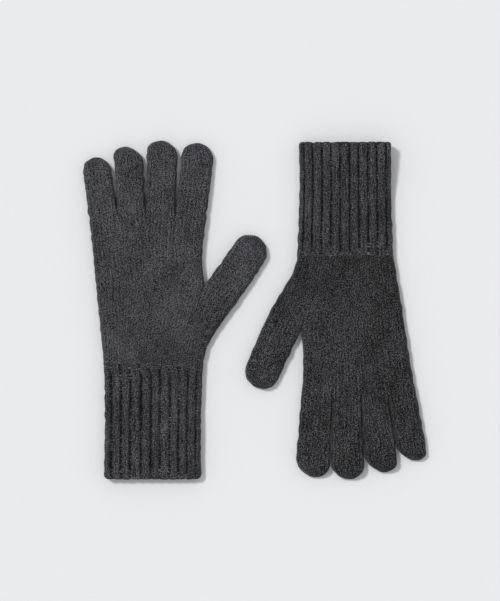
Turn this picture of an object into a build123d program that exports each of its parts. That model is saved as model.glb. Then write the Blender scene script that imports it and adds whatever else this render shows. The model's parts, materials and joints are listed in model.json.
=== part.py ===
from build123d import *
import math
import os

# A pair of knitted touchscreen gloves, lying flat beside each other. One lies with its fingers
# towards +Y, the other is turned half round. Both are reversible: either face can be the palm, and
# here the upper face is, so fingers and thumb curl up towards +Z. Millimetres, surface at z = 0.
# "Across" runs over the cuff towards the thumb, "along" from the wrist fold to the fingertips.

# the knit
thickness = 9.2  # two layers with the slack hollow between them
wall = 2.2  # one layer
edge_round = 3.2  # radius of the folded edges of cuff, fingers and thumb
edge_bevel = 2.6  # the hand's folded edges are bevelled by this much
clearance = 1.0  # between the root end of a tube, half a thickness behind its fold, and what it bends on
finger_gap = 1.0  # between neighbouring fingers, and between thumb and hand
overrun = 1.0  # how far a hollow is cut past an open end

# cuff
wrist_half = 40.0  # half the flat width at the wrist fold
mouth_half = 38.6  # half the flat width at the mouth
mouth_corner = 4.0  # rounding of the mouth's two corners, seen from above
hem_depth = 8.0  # the cast-on welt that ends the ribs

# hand
hand_length = 110.0  # wrist fold to knuckle line
thumb_across = 52.0  # middle of the thumb's fold
thumb_along = 54.0
gusset_pull = 22.0  # how long the hand's edge keeps the thumb's direction
wrist_pull = 14.0  # how long the hand's edge keeps the cuff's direction

# fingers, from the little finger to the index finger
finger_names = ["little", "ring", "middle", "index"]
root_widths = [23.0, 21.5, 23.0, 24.5]
tip_widths = [24.0, 26.0, 27.0, 27.0]
finger_lengths = [54.5, 63.0, 68.0, 66.0]  # knuckle line to fingertip
base_lengths = [26.0, 30.0, 33.0, 31.0]  # knuckle line to the finger's middle fold
root_offset = -5.2  # middle of the finger row, across, at the knuckle line
tip_offset = -5.2  # the same near the fingertips
spread_length = 48.0  # from the knuckle line to where tip_widths and tip_offset hold
touch_fingers = ["index"]  # fingers that end in a cap of conductive yarn

# thumb
thumb_root_width = 29.0
thumb_tip_width = 28.0
thumb_length = 56.5  # thumb fold to thumb tip
thumb_base_length = 27.0  # thumb fold to the thumb's middle fold

touch_cap_length = 20.0  # conductive yarn at the end of thumb and index finger

# how each glove lies
gloves = {
    "left": {"wrist": (-80.4, -42.8), "turn": 0, "lean": 0.0, "thumb_angle": 36.0, "cuff_length": 92.6},
    "right": {"wrist": (73.5, 43.1), "turn": 180, "lean": -0.045, "thumb_angle": 25.5, "cuff_length": 91.0},
}

back = thickness / 2 + clearance  # from a fold's axis back to the tube that it bends on


def glove_plane(glove):
    """The surface under a glove: its origin is the middle of the wrist fold, x across, y along."""
    turn = math.radians(glove["turn"])
    return Plane(origin=(*glove["wrist"], 0), x_dir=(math.cos(turn), math.sin(turn), 0), z_dir=(0, 0, 1))


def leaned(glove, across, along):
    """A point of the hand: past the wrist it leans sideways in proportion to how far along it is."""
    return (across + glove["lean"] * max(along, 0), along)


def thumb_point(glove, across, along):
    """A point given across and along the thumb, from the middle of its fold, in the glove's plane."""
    angle = math.radians(glove["thumb_angle"])
    root_across, root_along = leaned(glove, thumb_across, thumb_along)
    return (
        root_across + across * math.cos(angle) + along * math.sin(angle),
        root_along - across * math.sin(angle) + along * math.cos(angle),
    )


def thumb_plane(glove):
    """The surface under the thumb: its origin is the middle of the thumb's fold."""
    base = glove_plane(glove)
    origin = base.from_local_coords(Vector(*thumb_point(glove, 0, 0)))
    aside = base.from_local_coords(Vector(*thumb_point(glove, 1, 0)))
    return Plane(origin=origin, x_dir=aside - origin, z_dir=(0, 0, 1))


def finger_line(glove, index, along):
    """Across position of a line between fingers, so far past the knuckle line: 0 is the outer side of
    the little finger and 4 the outer side of the index finger."""
    root = root_offset - sum(root_widths) / 2 + sum(root_widths[:index])
    tip = tip_offset - sum(tip_widths) / 2 + sum(tip_widths[:index])
    across = root + (tip - root) * along / spread_length
    return leaned(glove, across, hand_length + along)[0]


def finger_sides(glove, index):
    """Two functions that give a finger's left and right side at a distance past the knuckle line."""
    return (
        lambda along: finger_line(glove, index, along) + finger_gap / 2,
        lambda along: finger_line(glove, index + 1, along) - finger_gap / 2,
    )


def thumb_half(along):
    """Half the thumb's width at a distance past its fold."""
    return (thumb_root_width + (thumb_tip_width - thumb_root_width) * along / thumb_length) / 2


def draw_tube(left, right, start, end, inset):
    """The outline of a tube that is open at both ends."""
    Polyline(
        (left(start) + inset, start),
        (left(end) + inset, end),
        (right(end) - inset, end),
        (right(start) - inset, start),
        close=True,
    )


def draw_tip(left, right, start, end, inset):
    """The outline of a tube that is open at its start and ends in a half circle."""
    shoulder = end - (right(end) - left(end)) / 2
    left_shoulder = (left(shoulder) + inset, shoulder)
    right_shoulder = (right(shoulder) - inset, shoulder)
    Polyline(left_shoulder, (left(start) + inset, start), (right(start) - inset, start), right_shoulder)
    ThreePointArc(right_shoulder, ((left(end) + right(end)) / 2, end - inset), left_shoulder)


def draw_cuff(start, end, inset, corner):
    """The cuff's outline, from the mouth at start to the wrist at end."""
    Polyline(
        (-mouth_half + inset, start + corner),
        (-wrist_half + inset, end),
        (wrist_half - inset, end),
        (mouth_half - inset, start + corner),
    )
    mouth = [(mouth_half - inset - corner, start), (-mouth_half + inset + corner, start)]
    RadiusArc((mouth_half - inset, start + corner), mouth[0], corner)
    Line(*mouth)
    RadiusArc(mouth[1], (-mouth_half + inset, start + corner), corner)


def draw_hand(glove, inset, reach):
    """The hand's outline: open ends reach further by reach, closed edges come in by inset."""
    wrist = -thickness / 2 - reach
    knuckles = hand_length - back + reach
    thumb_start = thumb_root_width / 2
    little_wrist = leaned(glove, -wrist_half + inset, wrist)
    little_knuckle = (finger_line(glove, 0, 0) + finger_gap / 2 + inset, knuckles)
    index_knuckle = (finger_line(glove, len(finger_names), 0) - finger_gap / 2 - inset, knuckles)
    crotch = thumb_point(glove, -thumb_start - finger_gap - inset, -inset)
    notch = thumb_point(glove, -thumb_start - finger_gap - inset, -back - inset)
    thumb_outer = thumb_point(glove, thumb_start - inset, -back + reach)
    pulled = thumb_point(glove, thumb_start - inset, -back - gusset_pull)
    wrist_pulled = (wrist_half - inset, wrist + wrist_pull)
    wrist_edge = (wrist_half - inset, wrist)
    Polyline(wrist_edge, little_wrist, little_knuckle, index_knuckle, crotch, notch)
    if inset:
        corner = thumb_point(glove, -thumb_start + inset, -back - inset)
        thumb_inner = thumb_point(glove, -thumb_start + inset, -back + reach)
        Polyline(notch, corner, thumb_inner, thumb_outer)
    else:
        Line(notch, thumb_outer)
    Bezier(thumb_outer, pulled, wrist_pulled, wrist_edge)


def knit_shell(plane, draw_outside, draw_hollow, bevelled=False):
    """Two layers of knit with softened edges all round, on a plane, and the hollow between them."""
    with BuildPart() as shell:
        with BuildSketch(plane):
            with BuildLine():
                draw_outside()
            make_face()
        extrude(amount=thickness)
        levels = shell.edges().group_by(Axis.Z)
        if bevelled:
            chamfer(levels[0] + levels[-1], length=edge_bevel)
        else:
            fillet(levels[0] + levels[-1], radius=edge_round)
        with BuildSketch(plane.offset(wall)):
            with BuildLine():
                draw_hollow()
            make_face()
        extrude(amount=thickness - 2 * wall, mode=Mode.SUBTRACT)
    return shell


def write(name, shape):
    """Label a finished piece and write it as one STEP file."""
    shape.label = name
    export_step(shape, f"parts/{name}.step")


def write_split(shell, plane, along, near_name, far_name):
    """Cut a shell across at a distance along its plane, where two yarns meet, and write both sides."""
    seam = Plane(origin=plane.from_local_coords(Vector(0, along, 0)), z_dir=plane.y_dir)
    for name, side in [(near_name, Keep.BOTTOM), (far_name, Keep.TOP)]:
        with BuildPart() as piece:
            add(shell.part)
            split(bisect_by=seam, keep=side)
        write(name, piece.part)


def make_cuff(name, glove):
    """The ribbed cuff with its hem: a wide flat tube, open at the mouth and at the wrist."""
    mouth = -glove["cuff_length"]
    plane = glove_plane(glove)
    shell = knit_shell(
        plane,
        lambda: draw_cuff(mouth, -back, 0, mouth_corner),
        lambda: draw_cuff(mouth - overrun, -back + overrun, wall, overrun),
    )
    write_split(shell, plane, mouth + hem_depth, f"{name}_cuff_hem", f"{name}_cuff")


def make_hand(name, glove):
    """The hand: palm and back in one tube, open at the wrist, at the thumb and at all four fingers."""
    shell = knit_shell(
        glove_plane(glove),
        lambda: draw_hand(glove, 0, 0),
        lambda: draw_hand(glove, wall, overrun),
        bevelled=True,
    )
    write(f"{name}_hand", shell.part)


def make_digit(name, plane, left, right, fold, length, touch):
    """A finger or thumb: a base tube up to its middle fold, and a tip that is closed at its end."""
    root = -thickness / 2
    base = knit_shell(
        plane,
        lambda: draw_tube(left, right, root, fold - back, 0),
        lambda: draw_tube(left, right, root - overrun, fold - back + overrun, wall),
    )
    write(f"{name}_base", base.part)
    tip = knit_shell(
        plane,
        lambda: draw_tip(left, right, fold + root, length, 0),
        lambda: draw_tip(left, right, fold + root - overrun, length, wall),
    )
    if touch:
        write_split(tip, plane, length - touch_cap_length, f"{name}_tube", f"{name}_touch_cap")
    else:
        write(f"{name}_tip", tip.part)


def make_glove(name, glove):
    make_cuff(name, glove)
    make_hand(name, glove)
    knuckle_plane = glove_plane(glove).shift_origin(
        glove_plane(glove).from_local_coords(Vector(0, hand_length, 0))
    )
    for index, finger in enumerate(finger_names):
        left, right = finger_sides(glove, index)
        make_digit(
            f"{name}_{finger}",
            knuckle_plane,
            left,
            right,
            base_lengths[index],
            finger_lengths[index],
            finger in touch_fingers,
        )
    make_digit(
        f"{name}_thumb",
        thumb_plane(glove),
        lambda along: -thumb_half(along),
        thumb_half,
        thumb_base_length,
        thumb_length,
        True,
    )


os.makedirs("parts", exist_ok=True)
for glove_name, glove_lie in gloves.items():
    make_glove(glove_name, glove_lie)
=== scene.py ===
import json
import math
from functools import partial

import bpy
import numpy as np
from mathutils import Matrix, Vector


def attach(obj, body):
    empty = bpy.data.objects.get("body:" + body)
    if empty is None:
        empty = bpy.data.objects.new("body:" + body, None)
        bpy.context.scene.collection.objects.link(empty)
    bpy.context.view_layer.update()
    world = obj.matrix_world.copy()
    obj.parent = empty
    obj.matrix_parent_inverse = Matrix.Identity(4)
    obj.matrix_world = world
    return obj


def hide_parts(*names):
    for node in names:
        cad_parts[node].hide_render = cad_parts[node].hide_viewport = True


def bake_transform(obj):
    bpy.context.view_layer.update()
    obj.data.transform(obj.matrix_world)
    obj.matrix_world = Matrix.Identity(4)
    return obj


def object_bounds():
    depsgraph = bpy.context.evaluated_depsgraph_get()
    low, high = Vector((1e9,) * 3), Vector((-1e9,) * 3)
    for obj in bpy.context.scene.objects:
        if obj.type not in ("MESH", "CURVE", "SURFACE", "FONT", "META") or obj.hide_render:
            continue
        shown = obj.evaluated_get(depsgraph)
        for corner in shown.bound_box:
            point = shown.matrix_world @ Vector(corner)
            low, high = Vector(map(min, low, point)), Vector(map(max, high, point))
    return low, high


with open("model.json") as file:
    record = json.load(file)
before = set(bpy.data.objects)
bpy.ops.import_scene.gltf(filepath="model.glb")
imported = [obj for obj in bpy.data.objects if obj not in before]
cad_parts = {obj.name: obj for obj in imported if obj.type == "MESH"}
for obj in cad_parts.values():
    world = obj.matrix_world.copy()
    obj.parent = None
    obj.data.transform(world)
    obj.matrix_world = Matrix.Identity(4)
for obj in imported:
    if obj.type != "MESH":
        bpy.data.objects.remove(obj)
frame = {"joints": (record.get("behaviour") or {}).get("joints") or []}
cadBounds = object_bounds()
joints = {joint["name"]: joint for joint in frame["joints"]}

# Everything below is worked out in millimetres in a glove's own plane: across towards the thumb,
# along towards the fingertips, up from the table. place() turns it to metres in the CAD's frame.
knit = {
    "course": 1.65,  # height of a stitch
    "rowsPerCourse": 3,
    "samplesPerWale": 4,
    "relief": 0.45,  # how far the gaps between stitches lie below their legs
    "uneven": 0.45,  # share of the relief that differs from stitch to stitch
    "legFoot": 0.28,  # height of a leg where it meets the next stitch, against 1 at its top
    "waleDip": 0.1,  # most that a whole wale lies lower than the highest one
    "edgeDip": 0.13,  # how much lower the line between two wales is than a wale's middle
    "loft": 0.35,  # how far the fuzz carries the outline past the yarn's middle
    "ply": 2.0,  # thickness of one layer
    "innerStep": 9,  # the inner face has one row for so many of the outer face
    "lowest": 0.03,  # height above the table that nothing goes below
}
rowPitch = knit["course"] / knit["rowsPerCourse"]
perWale = knit["samplesPerWale"]
thumbWales, palmWales = 11, 33
fingerWales = [9, 8, 8, 8]  # little, ring, middle, index
ribsPerFace = 11
fingerNames = ["little", "ring", "middle", "index"]


def smooth(t):
    # 3t^2 - 2t^3 between 0 and 1, flat outside
    t = np.clip(t, 0, 1)
    return t * t * (3 - 2 * t)


def waves(across, along, size, seed, count=9):
    # sum of sines of about one wavelength in seeded directions, scaled to run from about -1 to 1
    dice = np.random.default_rng(seed)
    total = np.zeros(np.broadcast(across, along).shape)
    for turn, stretch, phase in dice.random((count, 3)):
        pitch = 2 * math.pi / (size * (0.7 + 0.7 * stretch))
        angle = 2 * math.pi * turn
        total += np.sin((across * math.cos(angle) + along * math.sin(angle)) * pitch + 2 * math.pi * phase)
    return total / math.sqrt(count)


gloves = {
    "left": {
        "lean": 0.0,  # towards the thumb, for each millimetre along the hand
        "cuffLength": 92.6,
        "thumbAngle": 36.0,
        "seed": 3,
        "littleSide": [40.3, 39.4, 40.2],  # cuff's edges at mouth, middle and wrist
        "thumbSide": [38.0, 37.6, 39.4],
        "cornerRadius": 4.0,
        "mouthLift": [1.2, 0.6],  # of the mouth at the little finger's side and at the thumb's
        "mouthGape": 1.0,  # of the upper layer in the mouth's middle
        "curl": 0.0,  # of the mouth's corner at the little finger's side
        "ribUneven": 0.1,  # share by which ribs differ in width
        "ribShrink": 0.12,  # how much narrower they get towards the thumb's side
        "barPower": 3.8,  # higher makes ribs flatter and furrows narrower
        "furrow": 2.1,  # depth
        "hemFurrow": 0.9,
        "furrowUneven": 0.26,  # share by which furrows differ in depth
        "tipGap": 2.9,  # between neighbouring fingertips
        "seamStart": 115.0,  # where the fingers start to part
        "sideRound": 2.6,  # of the fingers' sides towards each other
        "tipLean": [-0.3, 2.1, 2.0, 1.9],  # how far each tip leans towards the little finger
        "tipLonger": [0.0, 0.0, 0.0, 0.0, -0.4],  # little finger to thumb
        "edgeBow": 0.0,  # how far the hand's side at the little finger bows in
        "paintedGloveShade": 0.0,  # painted shade: how much darker the jersey is, as the light meets its stitches from the other end
    },
    "right": {
        "lean": -0.045, "cuffLength": 91.0, "thumbAngle": 25.5, "seed": 8,
        "littleSide": [35.2, 35.8, 37.2], "thumbSide": [38.0, 37.6, 39.6], "cornerRadius": 1.4,
        "mouthLift": [1.0, 0.8], "mouthGape": 2.2, "curl": 8.5,
        "ribUneven": 0.06, "ribShrink": 0.0, "barPower": 6.0,
        "furrow": 2.6, "hemFurrow": 2.2, "furrowUneven": 0.16,
        "tipGap": 1.15, "seamStart": 106.0, "sideRound": 1.2,
        "tipLean": [2.0, 1.5, 1.2, 2.8], "tipLonger": [-1.2, -0.4, 0.3, 0.7, -0.8],
        "edgeBow": 0.9, "paintedGloveShade": 0.32,
    },
}
hand = {
    "length": 110.0,  # wrist fold to knuckle line
    "fingersStart": 98.0,  # where the hand's knit parts into four tubes
    "half": 4.5,  # half the thickness
    "foldRound": 3.4,  # rounding of the outer folds
    "rootWidths": [23.0, 21.5, 23.0, 24.5],
    "tipWidths": [24.0, 26.0, 27.0, 27.0],
    "rootOffset": -5.2,
    "tipOffset": -5.2,
    "spread": 48.0,
    "gap": 0.04,  # between neighbouring fingers where they part
    "thumbAcross": 52.0,
    "thumbAlong": 54.0,
    "gussetPull": 22.0,
    "wristPull": 14.0,
    "crease": 12.0,  # how far the furrow under the thumb's crotch runs down the hand
    "seamPower": 1.15,  # 1 makes the line between palm and thumb wales straight
    "seamBow": 1.2,  # how far the palm's edge bows in above the crotch
    "fallSooner": 1.1,  # above 1, the thumb's rows are straight before they reach the crotch
}
# what a fold adds to the width of a face
foldExtra = hand["half"] + hand["foldRound"] * (math.pi / 2 - 2)
fingers = {
    "lengths": [54.5, 63.0, 68.0, 66.0],
    "bases": [26.0, 30.0, 33.0, 31.0],
    "roundOver": 16.0,  # length over which the sides between the fingers become round
    "tipTaper": 6.5,  # length over which a tip's thickness closes
    "blunt": 0.95,  # 1 is a half circle, smaller is squarer
    "crown": 0.08,  # how much a finger's top is domed, as a share of its half thickness
    "crownOver": 20.0,  # length from the knuckles over which the doming comes in
    "partOver": 46.0,  # length over which the gap between the tips opens
    "settleOver": 25.0,  # and over which the fingers settle
    "tipShort": 0.012,  # angle by which the last row stops short of the tip, which a fan closes
    "tipThin": 0.05,
    "openRows": 30,  # rows at a tip whose corners are never sharp
    "settle": 0.7,  # 0 leaves a finger's widest line half way up, 1 puts it a quarter of the way up
    "paintedSeamShade": 1.1,  # painted shade along a seam whose sides still touch
    "seamFade": 8.0,  # length over which it begins
    "seamGone": 1.6,  # gap at which it has ended
}
fadeRate = 1.6  # a tube keeps its full relief until it is narrower than 1 / 1.6 of its width
innerFade = 0.55  # where the relief has faded to this, the inner face ends
closedRound = 0.8  # a side rounded less than this is still closed against its neighbour
offTable = 0.02  # how high the whole glove lies above the table
thumb = {
    "rootWidth": 29.0, "tipWidth": 28.0, "length": 56.5,
    "base": 27.0,  # from its root to its middle fold
    "lean": 1.0,  # of the tip towards the hand
    "belly": 0.3,  # how far its middle bows away from the hand
    "crownOver": 15.0,
}
touchCap = {"length": 20.0}
bendHalf = {"finger": 7.0, "thumb": 7.0, "wrist": 10.0}


def leaned(glove, across, along):
    return across + glove["lean"] * np.maximum(along, 0)


def place(glove, across, along, up):
    # origin + across * side + along * forward, in metres
    origin, side = glove["origin"], glove["side"]
    forward = np.array([-side[1], side[0]])
    x = origin[0] + (across * side[0] + along * forward[0]) * 0.001
    y = origin[1] + (across * side[1] + along * forward[1]) * 0.001
    return np.stack([x, y, up * 0.001 + 0 * x], axis=-1)


def thumbPoint(glove, across, along):
    # from the middle of the thumb's fold: across and along turned by the thumb's angle
    angle = math.radians(glove["thumbAngle"])
    rootAcross = leaned(glove, hand["thumbAcross"], hand["thumbAlong"])
    return (
        rootAcross + across * math.cos(angle) + along * math.sin(angle),
        hand["thumbAlong"] - across * math.sin(angle) + along * math.cos(angle),
    )


def fingerLine(glove, index, along):
    # the line between two fingers: straight from its place on the knuckle line to its place at the spread
    past = along - hand["length"]
    root = hand["rootOffset"] - sum(hand["rootWidths"]) / 2 + sum(hand["rootWidths"][:index])
    tip = hand["tipOffset"] - sum(hand["tipWidths"]) / 2 + sum(hand["tipWidths"][:index])
    return leaned(glove, root + (tip - root) * past / hand["spread"], along)


def bezier(points, count):
    # cubic through four control points, spaced evenly along its length
    t = np.linspace(0, 1, 400)[:, None]
    a, b, c, d = (np.array(point, float) for point in points)
    curve = a * (1 - t) ** 3 + 3 * b * t * (1 - t) ** 2 + 3 * c * t * t * (1 - t) + d * t**3
    reach = np.concatenate([[0], np.cumsum(np.linalg.norm(np.diff(curve, axis=0), axis=1))])
    even = np.linspace(0, reach[-1], count)
    return np.stack([np.interp(even, reach, curve[:, 0]), np.interp(even, reach, curve[:, 1])], axis=1)


wallShare = 0.56  # share of a round side that belongs to the face's wales, where a tube has side wales


def slotPoint(distance, width, half, leftRound, rightRound):
    # walks from the left side's middle up, over the upper face and down to the right side's middle:
    # a straight wall, a quarter arc, the flat, a quarter arc and a straight wall, added one after another
    leftWall, rightWall = half - leftRound, half - rightRound
    leftArc, rightArc = math.pi / 2 * leftRound, math.pi / 2 * rightRound
    flat = width - leftRound - rightRound
    rest = distance
    up = np.clip(rest, 0, leftWall)
    rest = rest - leftWall
    turn = np.clip(rest, 0, leftArc) / np.maximum(leftRound, 1e-6)
    over = leftRound * (1 - np.cos(turn))
    up = up + leftRound * np.sin(turn)
    rest = rest - leftArc
    over = over + np.clip(rest, 0, flat)
    rest = rest - flat
    turn = np.clip(rest, 0, rightArc) / np.maximum(rightRound, 1e-6)
    over = over + rightRound * np.sin(turn)
    up = up - rightRound * (1 - np.cos(turn))
    rest = rest - rightArc
    return over, up - np.clip(rest, 0, rightWall)


def column(value, rows):
    # one value for each row, or the same one for all
    return np.broadcast_to(np.asarray(value, float).reshape(-1, 1), (rows, 1))


def faceFractions(wales, knots):
    # where a face's samples lie between its two ends: even steps between the knots
    steps = [np.linspace(a, b, n * perWale, endpoint=False) for n, a, b in zip(wales, knots[:-1], knots[1:])]
    return np.concatenate(steps)


def tubeGrid(left, right, half, leftRound, rightRound, face, leftWales, rightWales, crown=0.0):
    # left, right: a row's two ends (rows x 2). The loop runs over the upper face from left to right,
    # round the right side, back under and up the left side.
    width = np.linalg.norm(right - left, axis=1)[:, None]
    half = column(half, len(left))
    most = np.minimum(half, width / 2)
    leftRound = np.minimum(column(leftRound, len(left)), most)
    rightRound = np.minimum(column(rightRound, len(left)), most)
    total = width + (leftRound + rightRound) * (math.pi / 2 - 1) + 2 * half - leftRound - rightRound
    hidden = 1 - wallShare
    leftHalf = (half - leftRound + hidden * math.pi / 2 * leftRound) if leftWales else 0 * half
    rightHalf = (half - rightRound + hidden * math.pi / 2 * rightRound) if rightWales else 0 * half
    under = np.concatenate([[1.0], face[:0:-1]])
    rightSteps = np.linspace(-1, 1, rightWales * perWale, endpoint=False)
    leftSteps = np.linspace(-1, 1, leftWales * perWale, endpoint=False)
    span = total - leftHalf - rightHalf
    distance = np.concatenate([
        leftHalf + face * span,
        total - np.abs(rightSteps) * rightHalf,
        leftHalf + under * span,
        np.abs(leftSteps) * leftHalf,
    ], axis=1)
    sign = np.concatenate([
        0 * face + 1, np.where(rightSteps < 0, 1, -1), 0 * under - 1, np.where(leftSteps < 0, -1, 1),
    ])
    over, up = slotPoint(distance, width, half, leftRound, rightRound)
    share = over / np.maximum(width, 1e-9)
    bulge = 1 + crown * (1 - (2 * share - 1) ** 2) * (sign > 0)
    across = left[:, :1] + (right[:, :1] - left[:, :1]) * share
    along = left[:, 1:] + (right[:, 1:] - left[:, 1:]) * share
    return np.stack([across, along, hand["half"] + sign * up * bulge + offTable], axis=-1)


def gridNormals(grid):
    # cross product of the steps round the loop and along the rows
    aroundLoop = np.roll(grid, -1, axis=1) - np.roll(grid, 1, axis=1)
    normal = np.cross(aroundLoop, np.gradient(grid, axis=0))
    return normal / np.maximum(np.linalg.norm(normal, axis=2, keepdims=True), 1e-9)


def jerseyRelief(wale, course, seed):
    # two legs to a wale, sin^2(2 pi phase) high, each lower towards the gap between stitches, which climbs
    # from the wale's middle to its edges; every leg, wale and line between wales has a dip of its own
    wale, course = np.meshgrid(wale, course)
    phase = wale % 1
    legs = (1 - np.cos(4 * math.pi * phase)) / 2
    gap = (1 + np.cos(2 * math.pi * (course - np.abs(2 * phase - 1)))) / 2
    dice = np.random.default_rng(seed).random((512, 256))
    own = dice[(np.floor(course).astype(int)) % 512, np.floor(wale * 2).astype(int) % 256]
    strand = np.random.default_rng(seed + 1).random(256)[np.floor(wale).astype(int) % 256]
    between = (1 + np.cos(2 * math.pi * phase)) / 2
    height = legs * (knit["legFoot"] + (1 - knit["legFoot"]) * gap) * (1 - knit["uneven"] * own)
    height = height - knit["waleDip"] * strand - knit["edgeDip"] * between
    return knit["relief"] * (height - 1)


cloth = {
    "sag": [0.32, 34],  # height and size of the upper face's broad swells
    "dimple": [0.1, 9],  # and of its small ones
    "acrossWander": [0.27, 9],  # how far the knit wanders from its true place
    "alongWander": [0.18, 10],
    "upperFrom": [2, 5],  # the upper face's share grows from this height, over so much
    "openOver": 1.2,  # rounding at which a closed side counts as open
    "bowAlong": [88, 32],  # middle and reach of the side's bow
    "bowAcross": [15, 35],  # it starts this far from the hand's middle and is full so much further out
}


def sideSamples(face, leftWales, rightWales):
    # which samples of a loop are the corners and the inside of each side wall
    top, right, left = len(face), rightWales * perWale, leftWales * perWale
    corners, walls = np.zeros((2, 2 * top + right + left), bool), np.zeros((2, 2 * top + right + left), bool)
    if left:
        corners[0, [0, 2 * top + right]] = True
        walls[0, 2 * top + right + 1 :] = True
    if right:
        corners[1, [top, top + right]] = True
        walls[1, top + 1 : top + right] = True
    return corners, walls


def weaveGlove(glove, grid, relief, sides=None, rounds=(0, 0)):
    # moves every point by its relief along the normal, and lets the cloth lie a little unevenly.
    # Where a side is still closed against its neighbour its wall is plain and its corners move upright.
    across, along = grid[..., 0], grid[..., 1]
    normal = gridNormals(grid)
    if sides is not None:
        upright = np.zeros_like(normal)
        upright[..., 2] = np.sign(grid[..., 2] - hand["half"])
        for corner, wall, roundness in zip(*sides, rounds):
            opened = smooth(column(roundness, len(grid)) / cloth["openOver"])
            relief = relief * np.where(wall[None, :], opened, 1)
            closed = (corner[None, :] * (1 - opened))[..., None]
            normal = normal * (1 - closed) + upright * closed
    moved = grid + normal * relief[..., None]
    moved[..., :2] += knit["loft"] * normal[..., :2]
    upper = smooth((grid[..., 2] - cloth["upperFrom"][0]) / cloth["upperFrom"][1])
    uneven = [
        amount * waves(across, along, size, glove["seed"] + k)
        for k, (amount, size) in enumerate([cloth[kind] for kind in ("sag", "dimple", "acrossWander", "alongWander")])
    ]
    moved[..., 2] += upper * (uneven[0] + uneven[1])
    moved[..., 0] += uneven[2]
    moved[..., 1] += uneven[3]
    bow = glove["edgeBow"] * np.exp(-(((along - cloth["bowAlong"][0]) / cloth["bowAlong"][1]) ** 2))
    moved[..., 0] += bow * smooth((-across - cloth["bowAcross"][0]) / cloth["bowAcross"][1])
    moved[..., 2] = np.maximum(moved[..., 2], knit["lowest"])
    return moved


def shellMesh(
    name, glove, outer, base, wale, course,
    closedEnd=False, innerEnd=None, ply=None, furrow=None, closedCorners=None, sharpStart=True,
):
    # outer face: the woven grid. Inner face: every few rows of the plain grid moved in by one ply.
    # Rims join the two at open ends, a fan closes a tip.
    rows, loop = outer.shape[:2]
    last = rows - 1 if innerEnd is None else innerEnd
    picked = np.unique(np.concatenate([np.arange(0, last, knit["innerStep"]), [last]]))
    inner = base[picked] - gridNormals(base)[picked] * (knit["ply"] if ply is None else ply[picked][..., None])
    points = [place(glove, g[..., 0], g[..., 1], g[..., 2]).reshape(-1, 3) for g in (outer, inner)]
    outerTip, innerTip = outer[-1].mean(axis=0), inner[-1].mean(axis=0)
    points.append(place(glove, *[np.array([tip[k] for tip in (outerTip, innerTip)]) for k in range(3)]))
    outerId = np.arange(rows * loop).reshape(rows, loop)
    innerId = np.arange(len(picked) * loop).reshape(len(picked), loop) + rows * loop
    tipId = rows * loop + len(picked) * loop

    def quads(near, far):
        return np.stack([near, np.roll(near, -1, axis=-1), np.roll(far, -1, axis=-1), far], axis=-1).reshape(-1, 4)

    def corners(n, waleAt, courseNear, courseFar):
        nextWale = np.concatenate([waleAt[1:], [2 * waleAt[-1] - waleAt[-2]]])
        one = np.stack([waleAt, nextWale, nextWale, waleAt], axis=-1)
        u = np.broadcast_to(one, (n, loop, 4))
        v = np.stack([courseNear, courseNear, courseFar, courseFar], axis=-1)[:, None, :] + 0 * u
        return np.stack([u, v], axis=-1).reshape(-1, 2)

    fours = [quads(outerId[:-1], outerId[1:]), quads(innerId[1:], innerId[:-1])]
    uvs = [
        corners(rows - 1, wale, course[:-1], course[1:]),
        corners(len(picked) - 1, wale, course[picked][1:], course[picked][:-1]),
    ]
    fours.append(quads(innerId[0], outerId[0]))
    uvs.append(corners(1, wale, course[:1] - 1, course[:1]))
    threes = np.zeros((0, 3), int)
    if closedEnd:
        a, b = outerId[-1], innerId[-1]
        threes = np.concatenate([
            np.stack([a, np.roll(a, -1), np.full(loop, tipId)], axis=1),
            np.stack([np.roll(b, -1), b, np.full(loop, tipId + 1)], axis=1),
        ])
        tipUv = np.stack([np.repeat(wale, 3), np.tile([0, 0, 0.3], loop) + course[-1]], axis=1)
        uvs += [tipUv, tipUv]
    else:
        fours.append(quads(outerId[-1], innerId[-1]))
        uvs.append(corners(1, wale, course[-1:], course[-1:] + 1))
        points[2] = points[2][:0]
    fours = np.concatenate(fours)
    piece = makeMesh(name, np.concatenate(points), fours, threes, np.concatenate(uvs))
    # painted shade for each point: the glove's painted shade, or the given furrow and seam shade on the outer face
    depth = np.full(len(piece.data.vertices), glove["paintedGloveShade"], np.float32)
    if furrow is not None:
        depth[: rows * loop] = furrow.ravel()
    piece.data.attributes.new("furrow", "FLOAT", "POINT").data.foreach_set("value", depth)
    # rims and closed corners are sharp, so the knit is not shaded by the faces behind it
    ends = np.empty(2 * len(piece.data.edges), np.int32)
    piece.data.edges.foreach_get("vertices", ends)
    a, b = ends.reshape(-1, 2).T
    onOuter = (a < rows * loop) & (b < rows * loop)
    onInner = (a >= rows * loop) & (b >= rows * loop) & (a < tipId) & (b < tipId)
    rowA, rowB = a // loop, b // loop
    rims = [0, rows] if sharpStart else []
    rims += [] if closedEnd else [rows - 1, rows + len(picked) - 1]
    sharp = (onOuter | onInner) & (rowA == rowB) & np.isin(rowA, rims)
    if closedCorners is not None:
        safe = np.clip(rowA, 0, rows - 1)
        sharp |= onOuter & (a % loop == b % loop) & closedCorners[safe, a % loop]
    piece.data.attributes.new("sharp_edge", "BOOLEAN", "EDGE").data.foreach_set("value", sharp)
    return piece


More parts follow.
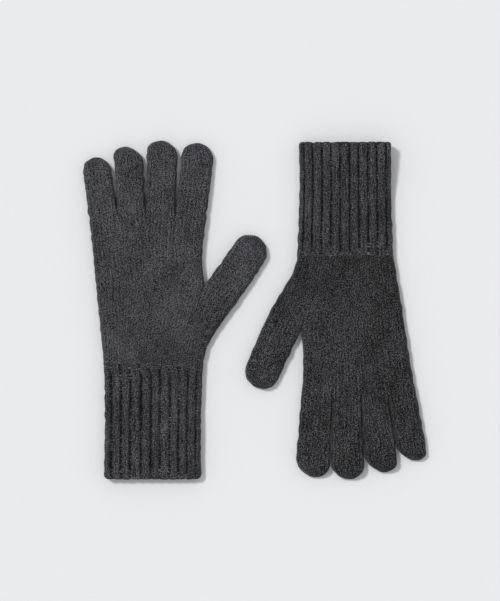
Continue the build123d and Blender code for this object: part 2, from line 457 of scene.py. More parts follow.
def makeMesh(name, points, fours, threes, uvs):
    # fours and threes: corner numbers of each face; uvs: one for each corner, in the same order
    mesh = bpy.data.meshes.new(name)
    mesh.vertices.add(len(points))
    mesh.vertices.foreach_set("co", points.astype(np.float32).ravel())
    cornerIds = np.concatenate([fours.ravel(), threes.ravel()])
    mesh.loops.add(len(cornerIds))
    mesh.loops.foreach_set("vertex_index", cornerIds.astype(np.int32))
    starts = np.concatenate([np.arange(len(fours)) * 4, len(fours) * 4 + np.arange(len(threes)) * 3])
    mesh.polygons.add(len(starts))
    mesh.polygons.foreach_set("loop_start", starts.astype(np.int32))
    mesh.uv_layers.new(name="stitches")
    mesh.update(calc_edges=True)
    mesh.validate(clean_customdata=False)
    mesh.polygons.foreach_set("use_smooth", np.ones(len(mesh.polygons), bool))
    layer = mesh.uv_layers["stitches"]
    if len(layer.uv) == len(uvs):
        layer.uv.foreach_set("vector", uvs.astype(np.float32).ravel())
    else:
        print("uv count differs", name, len(layer.uv), len(uvs))
    piece = bpy.data.objects.new(name, mesh)
    bpy.context.scene.collection.objects.link(piece)
    return piece


def linear(hexColour):
    # sRGB hex to linear light
    parts = [int(hexColour[k : k + 2], 16) / 255 for k in (1, 3, 5)]
    return tuple(p / 12.92 if p <= 0.04045 else ((p + 0.055) / 1.055) ** 2.4 for p in parts) + (1.0,)


def addNode(material, kind, settings=None, inputs=None):
    # one node: its settings by name, its inputs by name or number, each a value or another node's output
    node = material.node_tree.nodes.new(kind)
    for key, value in (settings or {}).items():
        setattr(node, key, value)
    for key, value in (inputs or {}).items():
        if isinstance(value, bpy.types.NodeSocket):
            material.node_tree.links.new(value, node.inputs[key])
        else:
            node.inputs[key].default_value = value
    return node


def maths(material, operation, a, b=0.0, c=0.0):
    return addNode(material, "ShaderNodeMath", {"operation": operation}, {0: a, 1: b, 2: c}).outputs[0]


def knitMaterial(name, values):
    # tone = weighted sum of: one chance per leg of a stitch, fibre specks drawn out along the legs, whole
    # wales, broad cloudiness and fine fibre; painted shade makes the lines between the legs darker than the
    # legs, and the furrow attribute paints shade into the furrows, the closed seams and the darker glove
    material = bpy.data.materials.new(name)
    material.use_nodes = True
    material.node_tree.nodes.clear()
    node, calc = partial(addNode, material), partial(maths, material)
    uv = node("ShaderNodeUVMap", {"uv_map": "stitches"}).outputs[0]
    parts = node("ShaderNodeSeparateXYZ", None, {0: uv})
    wale, course = parts.outputs[0], parts.outputs[1]
    phase = calc("FRACT", wale)
    fromMiddle = calc("ABSOLUTE", calc("MULTIPLY_ADD", phase, 2.0, -1.0))
    climbed = calc("SUBTRACT", course, fromMiddle)

    def noiseAt(acrossScale, alongScale, detail, roughness, y):
        at = node("ShaderNodeCombineXYZ", None, {
            0: calc("MULTIPLY", wale, acrossScale), 1: calc("MULTIPLY", y, alongScale), 2: 0.0,
        }).outputs[0]
        return node("ShaderNodeTexNoise", {"noise_dimensions": "2D"}, {
            "Vector": at, "Scale": 1.0, "Detail": detail, "Roughness": roughness,
        }).outputs[0]

    leg = calc("FLOOR", calc("MULTIPLY", wale, 2.0))
    stitch = calc("FLOOR", calc("ADD", climbed, 0.5))
    cell = node("ShaderNodeCombineXYZ", None, {0: leg, 1: stitch, 2: 0.0}).outputs[0]
    own = node("ShaderNodeTexWhiteNoise", {"noise_dimensions": "2D"}, {"Vector": cell}).outputs["Value"]
    marl = noiseAt(values["specksPerWale"], values["specksPerCourse"], 1.0, 0.8, climbed)
    strand = noiseAt(2.0, 0.07, 0.0, 0.5, course)
    # painted shade: darker on the lines between wales, paler in a wale's middle
    waleLineShade = calc("COSINE", calc("MULTIPLY", phase, 2 * math.pi))
    inObject = node("ShaderNodeTexCoord").outputs["Object"]
    broad = node("ShaderNodeTexNoise", None, {
        "Vector": inObject, "Scale": values["broadScale"], "Detail": 2.0,
    }).outputs[0]
    fine = node("ShaderNodeTexNoise", None, {
        "Vector": inObject, "Scale": values["fineScale"], "Detail": 2.0, "Roughness": 0.7,
    }).outputs[0]
    # painted shade stored on the mesh: in the cuffs' furrows, along closed seams and over the darker glove
    furrow = node("ShaderNodeAttribute", {"attribute_name": "furrow"}).outputs["Fac"]
    layers = {"stitchMix": own, "marlMix": marl, "strandMix": strand, "broadMix": broad, "fineMix": fine}
    tone = 0.5
    for mix, layer in layers.items():
        tone = calc("MULTIPLY_ADD", calc("SUBTRACT", layer, 0.5), values[mix], tone)
    tone = calc("MULTIPLY_ADD", waleLineShade, -values["waleLineShadeMix"], tone)
    tone = calc("MULTIPLY_ADD", furrow, -values["paintedShadeMix"], tone)
    ramp = node("ShaderNodeValToRGB", None, {0: tone})
    stops = ramp.color_ramp.elements
    stops[0].position, stops[1].position = 0.0, 1.0
    stops[0].color, stops[1].color = linear(values["dark"]), linear(values["light"])
    middle = stops.new(0.5)
    middle.color = linear(values["mid"])
    height = calc("MULTIPLY_ADD", marl, 1.0, fine)
    fibres = node("ShaderNodeBump", None, {
        "Strength": values["bump"], "Distance": values["bumpDepth"], "Height": height,
    })
    shader = node("ShaderNodeBsdfPrincipled", None, {
        "Base Color": ramp.outputs[0], "Roughness": 0.95, "Normal": fibres.outputs[0],
        "Sheen Weight": values["sheen"], "Sheen Roughness": 0.3, "Sheen Tint": linear(values["sheenTint"]),
        "Specular IOR Level": 0.12,
    })
    node("ShaderNodeOutputMaterial", None, {0: shader.outputs[0]})
    return material


# carded wool yarn of dark fibre with some pale fibre (a marl), knitted and lightly milled, so stitches
# differ from leg to leg and a short fuzz catches the light at grazing angles
yarn = {
    "dark": "#09090a", "mid": "#0f0f10", "light": "#808083", "sheenTint": "#c4c4c8", "sheen": 0.3,
    "bump": 1.0, "bumpDepth": 0.0004,
    "specksPerWale": 4.6, "specksPerCourse": 2.8,  # a fleck of pale fibre is about half a millimetre
    "broadScale": 38.0,  # clouds of about 26 mm
    "fineScale": 1500.0,  # fibre of about 0.7 mm, coarser than the real one so that it shows
    "stitchMix": 0.2, "marlMix": 2.9, "strandMix": 0.2, "broadMix": 0.4, "fineMix": 2.0,
    # the last two weigh painted shade
    "waleLineShadeMix": 0.05, "paintedShadeMix": 0.4,
}
woolJersey = knitMaterial("woolJersey", yarn)
# the same wool in rib, which lies more open and shows less contrast
woolRib = knitMaterial("woolRib", yarn | {
    "dark": "#111112", "mid": "#1f1f21", "light": "#88888b",
    # the last two weigh painted shade
    "stitchMix": 0.14, "marlMix": 1.8, "broadMix": 0.2, "fineMix": 1.3, "waleLineShadeMix": 0.0, "paintedShadeMix": 0.28,
})
# conductive knit: the same yarn with a fine metallised thread, which shows as a slightly cooler glint
conductiveKnit = knitMaterial("conductiveKnit", yarn | {
    "mid": "#101012", "light": "#84848a", "sheenTint": "#c6c8ce", "sheen": 0.33, "stitchMix": 0.22, "fineMix": 2.1,
})
print("materials made")


def finish(piece, material, nodes):
    piece.data.materials.append(material)
    if nodes:
        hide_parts(*nodes)


def rowsBetween(start, end):
    # evenly spaced rows, about rowPitch apart, with both ends on a row
    return np.linspace(start, end, max(2, int(round((end - start) / rowPitch)) + 1))


cuff = {
    "hemDepth": 8.0,
    "hemFrom": 3.0,  # from here the furrows deepen
    "hemOver": 7.0,  # over this length
    "furrowFade": 10.0,  # length over which the furrows run out at the wrist
    "gather": 14.0,  # length over which the wrist's even wales gather into ribs
    "cornerDepth": 0.6,  # 1 makes the mouth's corners quarter circles
    "halfWidth": 38.0,
    "lip": 1.2,
    "scallop": 0.5,
    "ply": 1.4,
    "stitchShare": 0.5,  # of the jersey's relief
    "mouthThinner": 0.3,  # how much thinner the mouth is, over the next length
    "thinOver": 6.0,
    "underLift": 0.35,  # the under layer's share of the lift
    "liftOver": 55.0,  # length over which the lifted mouth comes down to the table
    "curlOver": 48.0,
    "curlShare": 0.6,  # of the mouth's width
    "lipSteps": 6,
}
perRib = 16  # samples to a rib


def throughThree(values, t):
    # the parabola through three values at t = 0, 1/2 and 1
    first, middle, last = values
    return first * (1 - t) * (1 - 2 * t) + middle * 4 * t * (1 - t) + last * t * (2 * t - 1)


def cuffRows(glove):
    # the mouth is at -cuffLength, the wrist at 0
    return rowsBetween(-glove["cuffLength"] + cuff["lip"], 0.0)


def cuffPiece(side, glove):
    # a flattened tube whose faces are moved in by furrow depth x |2p - 1|^power, where p runs from 0 to 1
    # over a rib, so furrows are narrow and ribs are round
    rows = cuffRows(glove)
    length = -rows[0]
    t = (rows + length) / length
    fromMouth = rows + length
    radius = glove["cornerRadius"]
    inside = np.clip(radius - fromMouth, 0, radius)
    corner = (radius - np.sqrt(radius**2 - inside**2)) * cuff["cornerDepth"]
    left = np.stack([corner - throughThree(glove["littleSide"], t), rows], axis=1)
    right = np.stack([throughThree(glove["thumbSide"], t) - corner, rows], axis=1)
    face = faceFractions([ribsPerFace * 4], [0, 1])
    # sixteen samples to a rib: even at the wrist, gathered onto the rib's two knit wales elsewhere
    firstHalf = [0, 0.05, 0.10, 0.155, 0.215, 0.28, 0.345, 0.42]
    ribbed = np.array(firstHalf + [0.5] + [1 - share for share in firstHalf[:0:-1]])
    half = hand["half"] - cuff["mouthThinner"] * smooth(1 - fromMouth / cuff["thinOver"])
    even = tubeGrid(left, right, half, hand["foldRound"], hand["foldRound"], face, 0, 0)
    dice = np.random.default_rng(glove["seed"] + 40)
    widths = 1 + glove["ribUneven"] * (2 * dice.random(ribsPerFace) - 1)
    widths = widths - glove["ribShrink"] * np.linspace(-1, 1, ribsPerFace)
    ribEdges = np.concatenate([[0], np.cumsum(widths)]) / widths.sum()
    ribFace = (ribEdges[:-1, None] + ribbed * np.diff(ribEdges)[:, None]).ravel()
    gathered = tubeGrid(left, right, half, hand["foldRound"], hand["foldRound"], ribFace, 0, 0)
    into = smooth(-rows / cuff["gather"])[:, None, None]
    base = even * (1 - into) + gathered * into
    p = np.concatenate([ribbed] * (2 * ribsPerFace))
    bar = 1 - np.abs(2 * p - 1) ** glove["barPower"]
    deeper = smooth((fromMouth - cuff["hemFrom"]) / cuff["hemOver"])
    depth = glove["hemFurrow"] + (glove["furrow"] - glove["hemFurrow"]) * deeper
    depth = depth * smooth(-rows / cuff["furrowFade"])
    # each furrow has a depth of its own, which wanders along the cuff
    ownDepth = np.repeat(1 - glove["furrowUneven"] * dice.random(2 * ribsPerFace + 1), perRib)
    ownDepth = ownDepth[perRib // 2 : -(perRib // 2)]
    across = base[..., 0] * np.where(np.arange(base.shape[1]) < base.shape[1] // 2, 1, -1)
    wander = 1 + 0.5 * glove["furrowUneven"] * waves(across, base[..., 1] * 0.6, 16, glove["seed"] + 41)
    depth = depth[:, None] * ownDepth[None, :] * wander
    relief = -(1 - bar)[None, :] * depth
    waleInRib = np.clip((np.arange(perRib) - 2) / 6, 0, 2)
    wale = (np.arange(2 * ribsPerFace)[:, None] * 2 + waleInRib).ravel()
    course = np.arange(len(rows)) / knit["rowsPerCourse"]
    stitches = cuff["stitchShare"] * jerseyRelief(wale, course, glove["seed"] + 20)
    relief = relief + stitches * smooth(bar / 0.6)[None, :] * smooth(-rows / 2)[:, None]
    # the mouth's upper layer lifts, more at one corner, and its edge is slightly scalloped by the ribs
    lifted = base.copy()
    near = smooth(1 - fromMouth / cuff["liftOver"])[:, None]
    sideShare = np.clip((base[..., 0] / cuff["halfWidth"] + 1) / 2, 0, 1)
    lift = glove["mouthLift"][0] * (1 - sideShare) ** 2 + glove["mouthLift"][1] * sideShare**2
    upper = smooth((base[..., 2] - 1) / 7)
    gape = glove["mouthGape"] * (1 - (2 * sideShare - 1) ** 2)
    lifted[..., 2] += near * (lift * (cuff["underLift"] + (1 - cuff["underLift"]) * upper) + gape * upper)
    # one corner of the mouth curls up off the table
    curled = smooth(1 - fromMouth / cuff["curlOver"])[:, None] * np.clip(1 - sideShare / cuff["curlShare"], 0, 1) ** 2
    lifted[..., 2] += glove["curl"] * curled
    lifted[..., 1] -= cuff["scallop"] * bar[None, :] * smooth(1 - fromMouth / 3)[:, None]
    outer = weaveGlove(glove, lifted, relief)
    hemRow = int(np.argmin(np.abs(fromMouth - cuff["hemDepth"])))
    # the lip turns in over half a ply and on to the inner face
    lipSteps = np.linspace(0, math.pi, cuff["lipSteps"])[1:-1]
    hemOuter, hemBase = outer[: hemRow + 1], lifted[: hemRow + 1]
    # painted shade in the furrows, in step with their depth, plus a fifth of the glove's painted shade
    furrow = (1 - bar)[None, :] * depth / glove["furrow"] + 0.2 * glove["paintedGloveShade"]
    inward = -gridNormals(lifted)[0] * cuff["ply"] / 2
    lip = [hemOuter[0] + inward * (1 - math.cos(s)) - np.array([0, 0.8 * math.sin(s), 0]) for s in lipSteps[::-1]]
    innerPly = cuff["ply"] + (1 - bar)[None, :] * depth * 0.8
    hemOuter = np.concatenate([np.stack(lip), hemOuter])
    hemPly = np.concatenate([np.repeat(innerPly[:1], len(lip), axis=0), innerPly[: hemRow + 1]])
    back = np.arange(len(lip), 0, -1)
    hemBase = np.concatenate([hemBase[:1] - np.array([0, 0.01, 0]) * back[:, None, None], hemBase])
    hemCourse = np.concatenate([course[0] - 0.3 * back, course[: hemRow + 1]])
    hemFurrow = np.concatenate([np.repeat(furrow[:1], len(lip), axis=0), furrow[: hemRow + 1]])
    hem = shellMesh(
        side + "CuffHem", glove, hemOuter, hemBase, wale, hemCourse, ply=hemPly, furrow=hemFurrow, sharpStart=False,
    )
    finish(hem, woolRib, [side + "_cuff_hem"])
    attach(hem, side + "_cuff")
    tube = shellMesh(
        side + "Cuff", glove, outer[hemRow:], lifted[hemRow:], wale, course[hemRow:],
        ply=innerPly[hemRow:], furrow=furrow[hemRow:],
    )
    finish(tube, woolRib, [side + "_cuff"])
    blendAlong(tube, glove, side + "_cuff", side + "_hand", (0, -bendHalf["wrist"]), (0, bendHalf["wrist"]))


def blendAlong(piece, glove, near, far, start, end):
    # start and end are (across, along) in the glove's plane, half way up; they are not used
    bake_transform(piece)


def trunkRows(glove):
    # the hand's rows from wrist to thumb crotch, with each row's left end, its point on the line where
    # the thumb's wales leave the palm's, and its right end on the gusset's edge
    crotch = np.array(thumbPoint(glove, -thumb["rootWidth"] / 2, 0.0))
    count = int(round(crotch[1] / rowPitch)) + 1
    along = np.linspace(0, crotch[1], count)
    knuckleLeft = fingerLine(glove, 0, hand["fingersStart"])
    left = -glove["littleSide"][2] + (knuckleLeft + glove["littleSide"][2]) * along / hand["fingersStart"]
    outerCorner = thumbPoint(glove, thumb["rootWidth"] / 2, 0.0)
    pulled = thumbPoint(glove, thumb["rootWidth"] / 2, -hand["gussetPull"])
    wristRight = glove["thumbSide"][2]
    gusset = bezier([(wristRight, 0), (wristRight, hand["wristPull"]), pulled, outerCorner], count)
    return crotch, along, left, gusset


def crossCrease(along, crotchAlong):
    # the side's roundness grows from a sharp, closed fold to a full round over the crease's length
    return hand["foldRound"] * smooth((along - (crotchAlong - hand["crease"])) / hand["crease"])


def handPieces(side, glove):
    # below the crease one loop of palm and thumb wales, above it a tube of palm wales; the rows go on into
    # the thumb and the fingers with the same stitches
    crotch, along, leftEdge, gusset = trunkRows(glove)
    # the share of the upper face that is palm: even wales at the wrist, its true width at the crotch
    wristShare = palmWales / (palmWales + thumbWales)
    progress = along / crotch[1]
    wristTotal = glove["littleSide"][2] + glove["thumbSide"][2] + 2 * foldExtra
    wristSeam = -glove["littleSide"][2] + wristShare * wristTotal - foldExtra
    seam = wristSeam + (crotch[0] - wristSeam) * progress ** hand["seamPower"]
    left = np.stack([leftEdge, along], axis=1)
    middle = np.stack([seam, along], axis=1)
    # the knots of the face, as shares of the distance over it, follow the fingers' widths at their start
    h = hand["half"]
    atFingers = [fingerLine(glove, k, hand["fingersStart"]) for k in range(5)]
    width = atFingers[4] - atFingers[0]
    sideArc = math.pi / 2 * hand["foldRound"]
    reach = [0] + [x - atFingers[0] + foldExtra for x in atFingers[1:4]]
    # the index finger's outer side has side wales, so the face ends part way round it
    reach.append(width + foldExtra - hand["foldRound"] + wallShare * sideArc)
    palmKnots = np.array(reach) / reach[-1]
    crease = int(np.argmin(np.abs(along - (crotch[1] - hand["crease"]))))
    grid = trunkGrid(left, middle, gusset, progress, palmKnots)
    wale = np.arange(grid.shape[1]) / perWale
    course = np.arange(len(along)) / knit["rowsPerCourse"]
    relief = jerseyRelief(wale, course, glove["seed"] + 30) * smooth(along / 2)[:, None]
    outer = weaveGlove(glove, grid, relief)
    lower = shellMesh(side + "HandLower", glove, outer[: crease + 1], grid[: crease + 1], wale, course[: crease + 1])
    finish(lower, woolJersey, [])
    blendAlong(lower, glove, side + "_cuff", side + "_hand", (0, -bendHalf["wrist"]), (0, bendHalf["wrist"]))

    # above it the palm's tube, with side wales towards the thumb
    above = np.concatenate([along[crease:], rowsBetween(crotch[1], hand["fingersStart"])[1:]])
    leftAbove = -glove["littleSide"][2] + (atFingers[0] + glove["littleSide"][2]) * above / hand["fingersStart"]
    up = np.clip((above - crotch[1]) / (hand["fingersStart"] - crotch[1]), 0, 1)
    pastCrotch = crotch[0] + (atFingers[4] - crotch[0]) * up - hand["seamBow"] * np.sin(math.pi * up)
    seamAbove = np.where(above <= crotch[1], np.interp(above, along, seam), pastCrotch)
    roundness = crossCrease(above, crotch[1])
    palmFace = faceFractions(fingerWales, palmKnots)
    palm = tubeGrid(
        np.stack([leftAbove, above], axis=1), np.stack([seamAbove, above], axis=1),
        h, hand["foldRound"], roundness, palmFace, 0, 2,
    )
    palmWale = np.arange(palm.shape[1]) / perWale
    palmCourse = crease / knit["rowsPerCourse"] + np.arange(len(above)) / knit["rowsPerCourse"]
    relief = jerseyRelief(palmWale, palmCourse, glove["seed"] + 30)
    sides = sideSamples(palmFace, 0, 2)
    closed = sides[0][1][None, :] & (roundness < closedRound)[:, None]
    woven = weaveGlove(glove, palm, relief, sides, (0, roundness))
    upper = shellMesh(side + "HandUpper", glove, woven, palm, palmWale, palmCourse, closedCorners=closed)
    finish(upper, woolJersey, [side + "_hand"])
    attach(upper, side + "_hand")
    thumbPieces(side, glove, middle, gusset, progress, crease, course)
    return palmCourse[-1]


def fallPower(progress):
    # how a row falls towards the gusset's edge: as a square at the wrist, straight near the crotch
    return (2 - smooth(progress * hand["fallSooner"]))[:, None]


def trunkGrid(left, middle, right, progress, palmKnots):
    # one loop round palm and thumb wales. A row runs level to the seam line, then falls to the
    # gusset's edge by (share of the thumb's side) ^ power, with the power going from 2 to 1
    rows, h = len(left), hand["half"]
    levelRight = np.stack([right[:, 0], left[:, 1]], axis=1)
    width = levelRight[:, 0] - left[:, 0]
    total = width + 2 * foldExtra
    seamShare = ((middle[:, 0] - left[:, 0] + foldExtra) / total)[:, None]
    palmFace = faceFractions(fingerWales, palmKnots)
    thumbFace = np.linspace(0, 1, thumbWales * perWale, endpoint=False)
    face = np.concatenate([palmFace * seamShare, seamShare + thumbFace * (1 - seamShare)], axis=1)
    under = np.concatenate([np.ones((rows, 1)), face[:, :0:-1]], axis=1)
    distance = np.concatenate([face, under], axis=1) * total[:, None]
    sign = np.concatenate([np.ones(face.shape[1]), -np.ones(under.shape[1])])
    fold = column(hand["foldRound"], rows)
    over, up = slotPoint(distance, column(width, rows), column(h, rows), fold, fold)
    across = left[:, :1] + over
    share = np.clip((across - middle[:, :1]) / (right[:, :1] - middle[:, :1]), 0, 1)
    drop = (left[:, 1] - right[:, 1])[:, None]
    along = left[:, 1:] - drop * share ** fallPower(progress)
    return np.stack([across, along, h + sign * up + offTable], axis=-1)


def tipRows(straightEnd, halfWidth, taper, half):
    # half a superellipse, |x|^n + |y|^n = r^n with n = 2 / blunt, stepped by angle so that rows stay about
    # rowPitch apart on the outline; the thickness closes as a quarter of an ellipse over the taper
    steps = int(round(halfWidth * math.pi / 2 / rowPitch))
    angle = np.linspace(0, math.pi / 2, steps + 1)[1:-1]
    angle = np.append(angle, math.pi / 2 - fingers["tipShort"])
    along = straightEnd + halfWidth * np.sin(angle) ** fingers["blunt"]
    end = straightEnd + halfWidth
    thick = half * np.sqrt(np.clip(1 - np.clip((along - end + taper) / taper, 0, 1) ** 2, 0, 1))
    return along, halfWidth * np.cos(angle) ** fingers["blunt"], np.maximum(thick, fingers["tipThin"])


def fingerTube(glove, index):
    # a finger's rows from the hand to its tip: both ends of each row, half its thickness, how round its
    # sides are, how much painted shade its seams get and how far it settles on the table
    start, parting = hand["fingersStart"], glove["seamStart"]
    end = hand["length"] + fingers["lengths"][index] + glove["tipLonger"][index]
    opened = lambda y: glove["tipGap"] * smooth((y - parting) / fingers["partOver"])
    gap = lambda y: (hand["gap"] * smooth((y - start) / 4) + opened(y)) / 2
    leftLine = lambda y: fingerLine(glove, index, y) + gap(y) * (index > 0)
    rightLine = lambda y: fingerLine(glove, index + 1, y) - gap(y) * (index < 3)
    guess = (rightLine(end) - leftLine(end)) / 2
    shoulder = end - (rightLine(end - guess) - leftLine(end - guess)) / 2
    tipHalf = (rightLine(shoulder) - leftLine(shoulder)) / 2
    straight = rowsBetween(start, shoulder)
    tipAlong, tipWidth, tipThick = tipRows(shoulder, tipHalf, fingers["tipTaper"], hand["half"])
    towardsTip = smooth((tipAlong - shoulder) / tipHalf)
    shoulderMiddle = (leftLine(shoulder) + rightLine(shoulder)) / 2
    endMiddle = (leftLine(end) + rightLine(end)) / 2 - glove["tipLean"][index]
    centre = shoulderMiddle * (1 - towardsTip) + endMiddle * towardsTip
    along = np.concatenate([straight, tipAlong])
    left = np.stack([np.concatenate([leftLine(straight), centre - tipWidth]), along], axis=1)
    right = np.stack([np.concatenate([rightLine(straight), centre + tipWidth]), along], axis=1)
    half = np.concatenate([0 * straight + hand["half"], tipThick])
    rounding = glove["sideRound"] * smooth((along - parting) / fingers["roundOver"])
    full = 0 * along + hand["foldRound"]
    rounds = (full if index == 0 else rounding, full if index == 3 else rounding)
    # painted shade: a dark line runs down each seam while its sides still touch, where the crease is shaded
    touching = 1 - smooth(2 * gap(along) / fingers["seamGone"])
    paintedSeamShade = fingers["paintedSeamShade"] * smooth((along - parting) / fingers["seamFade"]) * touching
    settled = fingers["settle"] * smooth((along - parting) / fingers["settleOver"])
    return left, right, half, rounds, paintedSeamShade, settled


def tubePieces(glove, grid, wale, course, cuts, parts, fade, sides, rounds, paintedSeamShade, settled):
    # the tube settles on the table, z -> (1 - s) z + s z^2 / thickness, so that it is widest low down; then
    # it is cut into its parts: the root, the end and, where there are three, the touch cap
    settled = settled[:, None]
    grid[..., 2] = (1 - settled) * grid[..., 2] + settled * grid[..., 2] ** 2 / (2 * hand["half"])
    # painted shade: the glove's own, plus a dark line on the side corners where a seam is still closed
    furrow = glove["paintedGloveShade"] + (sides[0][0] | sides[0][1])[None, :] * paintedSeamShade[:, None]
    relief = jerseyRelief(wale, course, glove["seed"] + 30) * fade[:, None]
    outer = weaveGlove(glove, grid, relief, sides, rounds)
    leftClosed, rightClosed = (column(roundness, len(grid)) < closedRound for roundness in rounds)
    closedCorners = (sides[0][0] & leftClosed) | (sides[0][1] & rightClosed)
    closedCorners[-fingers["openRows"] :] = False
    for part, a, b in zip(parts, [0] + cuts, cuts + [len(course) - 1]):
        closed = part is parts[-1]
        innerEnd = int(np.argmax(fade < innerFade)) - a if closed else None
        piece = shellMesh(
            part["name"], glove, outer[a : b + 1], grid[a : b + 1], wale, course[a : b + 1], closedEnd=closed,
            innerEnd=innerEnd, furrow=furrow[a : b + 1], closedCorners=closedCorners[a : b + 1],
        )
        finish(piece, part["material"], part["nodes"])
        if "blend" in part:
            blendAlong(piece, glove, *part["blend"])
        else:
            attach(piece, part["body"])


def tubeParts(side, name, endNode, folds, point, reach, capped):
    # root and end, each listed with the bodies and span of its fold, and a touch cap that rides on the end
    body, title = side + "_" + name, side.title() + name.title()
    jersey = {"material": woolJersey, "slot": "wool_jersey"}
    parts = [
        {"name": title + "Root", **jersey, "nodes": [body + "_base"],
         "blend": (side + "_hand", body + "_base", point(folds[0] - reach), point(folds[0] + reach))},
        {"name": title + "End", **jersey, "nodes": [body + endNode],
         "blend": (body + "_base", body + "_end", point(folds[1] - reach), point(folds[1] + reach))},
    ]
    if capped:
        parts.append({"name": title + "TouchCap", "material": conductiveKnit, "slot": "conductive_knit",
                      "nodes": [body + "_touch_cap"], "body": body + "_end"})
    return parts


def fingerPieces(side, glove, index, courseStart):
    # a finger's tube, cut half way from its knuckle to its middle fold, and the index finger's at its cap
    name = fingerNames[index]
    left, right, half, rounds, paintedSeamShade, settled = fingerTube(glove, index)
    leftWales = 0 if index == 0 else 2
    face = faceFractions([fingerWales[index]], [0, 1])
    along = left[:, 1]
    crown = fingers["crown"] * smooth((along - hand["length"]) / fingers["crownOver"])[:, None]
    grid = tubeGrid(left, right, half, *rounds, face, leftWales, 2, crown)
    wale = np.arange(grid.shape[1]) / perWale + sum(fingerWales[:index])
    course = courseStart + np.arange(len(along)) / knit["rowsPerCourse"]
    width = right[:, 0] - left[:, 0]
    fade = smooth(width / width.max() * fadeRate)
    knuckle, base = hand["length"], hand["length"] + fingers["bases"][index]
    seams = [knuckle + fingers["bases"][index] / 2]
    capped = name == "index"
    if capped:
        seams.append(knuckle + fingers["lengths"][index] - touchCap["length"])
    endNode = "_tube" if capped else "_tip"
    parts = tubeParts(side, name, endNode, (knuckle, base), lambda y: (0, y), bendHalf["finger"], capped)
    cuts = [int(np.argmin(np.abs(along - seam))) for seam in seams]
    sides = sideSamples(face, leftWales, 2)
    tubePieces(glove, grid, wale, course, cuts, parts, fade, sides, rounds, paintedSeamShade, settled)


def thumbPieces(side, glove, middle, gusset, progress, crease, course):
    # the thumb's tube starts at the crease, between the seam line and the gusset's edge, and goes on past
    # the crotch, narrowing evenly up to its tip
    h = hand["half"]
    low = len(progress) - crease
    tipHalf = thumb["tipWidth"] / 2
    longest = thumb["length"] + glove["tipLonger"][4]
    straight = rowsBetween(0.0, longest - tipHalf)[1:]
    tipAlong, tipWidth, tipThick = tipRows(longest - tipHalf, tipHalf, fingers["tipTaper"], h)
    narrowing = (thumb["tipWidth"] - thumb["rootWidth"]) / (thumb["length"] - tipHalf)
    widthAt = (thumb["rootWidth"] + narrowing * straight) / 2
    out = np.concatenate([straight, tipAlong])
    halfWidth = np.concatenate([widthAt, tipWidth])
    lean = -thumb["lean"] * smooth(out / longest)
    lean = lean + thumb["belly"] * np.sin(math.pi * np.clip(out / longest, 0, 1))
    leftOut = np.stack(thumbPoint(glove, lean - halfWidth, out), axis=1)
    rightOut = np.stack(thumbPoint(glove, lean + halfWidth, out), axis=1)
    left = np.concatenate([middle[crease:], leftOut])
    right = np.concatenate([gusset[crease:], rightOut])
    half = np.concatenate([np.full(low, h), 0 * straight + h, tipThick])
    opening = smooth((middle[crease:, 1] - middle[crease, 1]) / hand["crease"])
    roundness = np.concatenate([opening, 0 * out + 1]) * hand["foldRound"]
    face = faceFractions([thumbWales], [0, 1])
    bulge = np.concatenate([np.zeros(low), fingers["crown"] * smooth(out / thumb["crownOver"])])[:, None]
    grid = tubeGrid(left, right, half, roundness, hand["foldRound"], face, 3, 0, bulge)
    # below the crotch the rows curve as the hand's do
    share = np.clip((grid[:low, :, 0] - left[:low, :1]) / (right[:low, :1] - left[:low, :1]), 0, 1)
    grid[:low, :, 1] = left[:low, 1:] + (right[:low, 1:] - left[:low, 1:]) * share ** fallPower(progress[crease:])
    wale = np.arange(grid.shape[1]) / perWale + palmWales
    steps = course[crease] + np.arange(len(left)) / knit["rowsPerCourse"]
    width = np.linalg.norm(right - left, axis=1)
    fade = smooth(width / thumb["rootWidth"] * fadeRate)
    base = thumb["base"]
    allOut = np.concatenate([np.full(low, -1e3), out])
    cuts = [int(np.argmin(np.abs(allOut - seam))) for seam in (base / 2, thumb["length"] - touchCap["length"])]
    point = lambda s: tuple(float(x) for x in thumbPoint(glove, 0.0, s))
    parts = tubeParts(side, "thumb", "_tube", (0.0, base), point, bendHalf["thumb"], True)
    settled = fingers["settle"] * smooth(allOut / fingers["settleOver"])
    sides, rounds = sideSamples(face, 3, 0), (roundness, hand["foldRound"])
    tubePieces(glove, grid, wale, steps, cuts, parts, fade, sides, rounds, 0 * settled, settled)


for side, glove in gloves.items():
    wrist = joints[side + "_wrist"]
    glove["origin"] = np.array(wrist["pos_m"][:2])
    glove["side"] = np.array(wrist["axis"][:2], float)
    cuffPiece(side, glove)
    courseEnd = handPieces(side, glove)
    for index in range(4):
        fingerPieces(side, glove, index, courseEnd)
    print(side, "glove knitted")


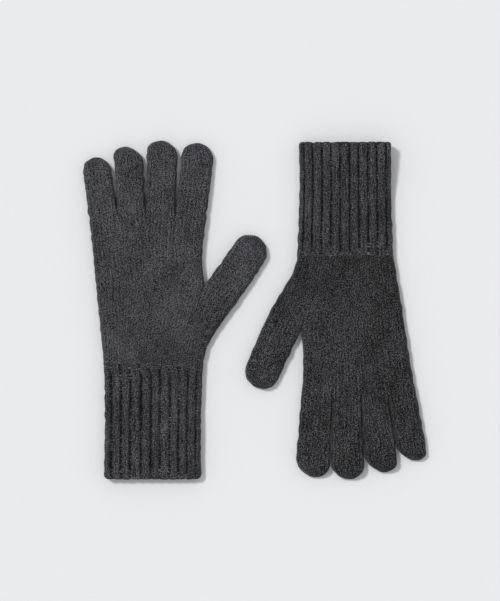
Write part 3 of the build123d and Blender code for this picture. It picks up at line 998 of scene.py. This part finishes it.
studio = {
    "floor": "#eaebed", "floorHalf": 8,
    "world": "#ffffff", "worldStrength": 0.5766,
    "sun": 1.6, "sunSoft": 10.0, "sunFrom": (-0.52, 0.40, 1.0),
    "viewCentre": (-0.00365, 0.0075),  # what the camera looks straight down on
    "viewHeight": 0.4808,  # what it sees from top to bottom, half way up the gloves
    "lens": 200.0, "farthest": 50,
}
floorMesh = bpy.data.meshes.new("table")
far = studio["floorHalf"]
floorMesh.from_pydata([(-far, -far, 0), (far, -far, 0), (far, far, 0), (-far, far, 0)], [], [(0, 1, 2, 3)])
table = bpy.data.objects.new("table", floorMesh)
bpy.context.scene.collection.objects.link(table)
# matt paper: a plain diffuse sweep with hardly any gloss
tableTop = bpy.data.materials.new("mattPaperSweep")
tableTop.use_nodes = True
tableTop.node_tree.nodes.clear()
paper = addNode(tableTop, "ShaderNodeBsdfPrincipled", None, {
    "Base Color": linear(studio["floor"]), "Roughness": 0.95, "Specular IOR Level": 0.1,
})
addNode(tableTop, "ShaderNodeOutputMaterial", None, {0: paper.outputs[0]})
table.data.materials.append(tableTop)

world = bpy.data.worlds.new("studio")
world.use_nodes = True
backdrop = world.node_tree.nodes["Background"]
backdrop.inputs[0].default_value = linear(studio["world"])
backdrop.inputs[1].default_value = studio["worldStrength"]
bpy.context.scene.world = world

sunData = bpy.data.lights.new("key", "SUN")
sunData.energy = studio["sun"]
sunData.angle = math.radians(studio["sunSoft"])
key = bpy.data.objects.new("key", sunData)
key.rotation_euler = Vector(studio["sunFrom"]).to_track_quat("Z", "Y").to_euler()
bpy.context.scene.collection.objects.link(key)

cameraData = bpy.data.cameras.new("camera")
cameraData.lens = studio["lens"]
camera = bpy.data.objects.new("camera", cameraData)
distance = studio["viewHeight"] / 2 * studio["lens"] / (cameraData.sensor_width / 2)
camera.location = (*studio["viewCentre"], distance + cadBounds[1][2] / 2)
cameraData.clip_end = studio["farthest"]
bpy.context.scene.collection.objects.link(camera)
bpy.context.scene.camera = camera
bpy.context.scene.view_settings.view_transform = "Standard"
print("studio set")
